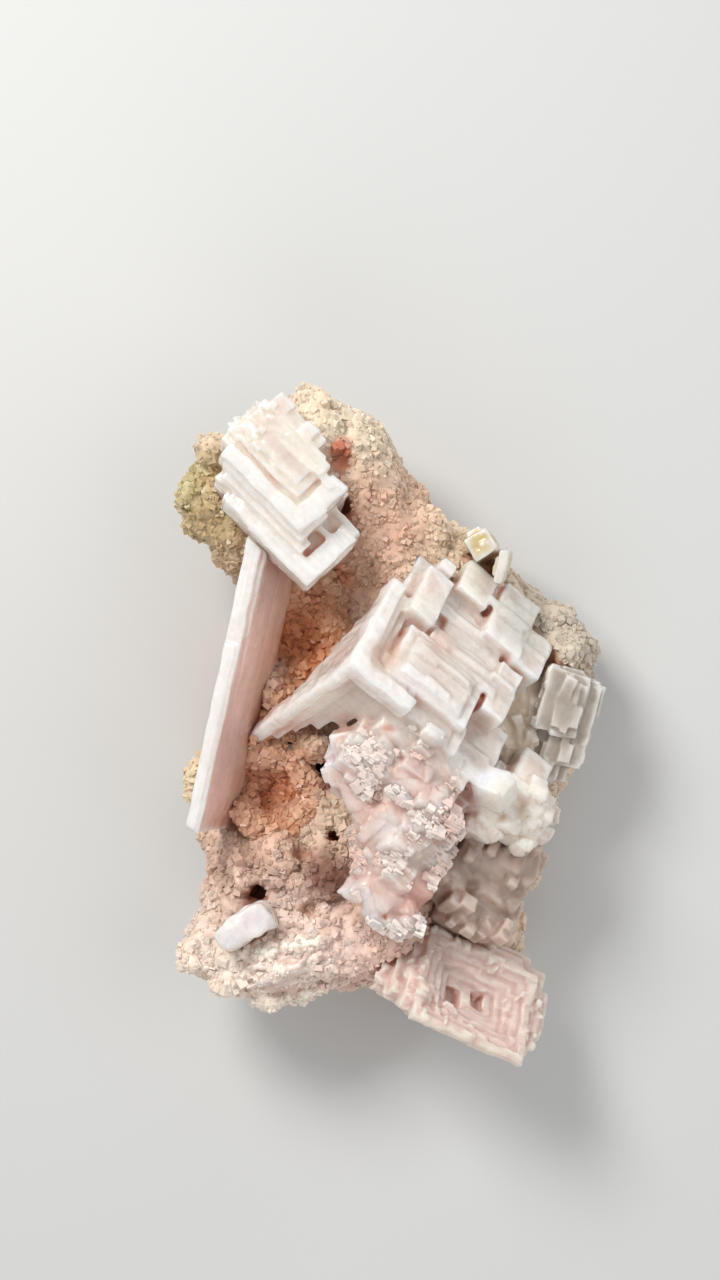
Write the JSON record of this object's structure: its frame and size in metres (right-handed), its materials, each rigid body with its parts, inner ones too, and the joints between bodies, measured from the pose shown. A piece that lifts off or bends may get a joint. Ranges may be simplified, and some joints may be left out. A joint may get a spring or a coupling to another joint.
{
  "type": "halite on trona mineral specimen",
  "caption": "Granular trona matrix with skeletal hopper halite crystals, a long striated blade and two hollows lined with small crystals.",
  "frame": {"origin": "centre of the bounding box in plan, at the height of the flat back that it rests on", "axes": "+Z out of the display side, +Y towards the specimen's top, along its length, +X to the right of the display side"},
  "size_m": [0.0726, 0.113, 0.047],
  "materials": {
    "trona_matrix": "granular, matt, beige with pink, yellowish and brown parts",
    "hollow_druse": "orange-brown crust of small crystals with a dull glitter",
    "halite_milky": "milky white translucent crystal with bright rims and fine growth lines",
    "halite_pink": "pale pink translucent crystal",
    "halite_smoky": "grey-brown translucent crystal",
    "halite_clear": "clear, faintly brown crystal"
  },
  "bodies": {
    "root": {"trona_matrix": "trona_matrix", "upper_hollow_druse": "hollow_druse", "lower_hollow_druse": "hollow_druse", "halite_main_cluster": "halite_milky", "halite_top_hopper": "halite_milky", "halite_side_blade": "halite_pink", "halite_corner_hopper": "halite_pink", "halite_smoky_steps": "halite_smoky", "halite_edge_plates": "halite_smoky", "halite_white_stub": "halite_milky", "halite_rim_cube": "halite_milky", "halite_rim_blade": "halite_milky", "halite_cavity_prism": "halite_clear"}
  },
  "joints": []
}
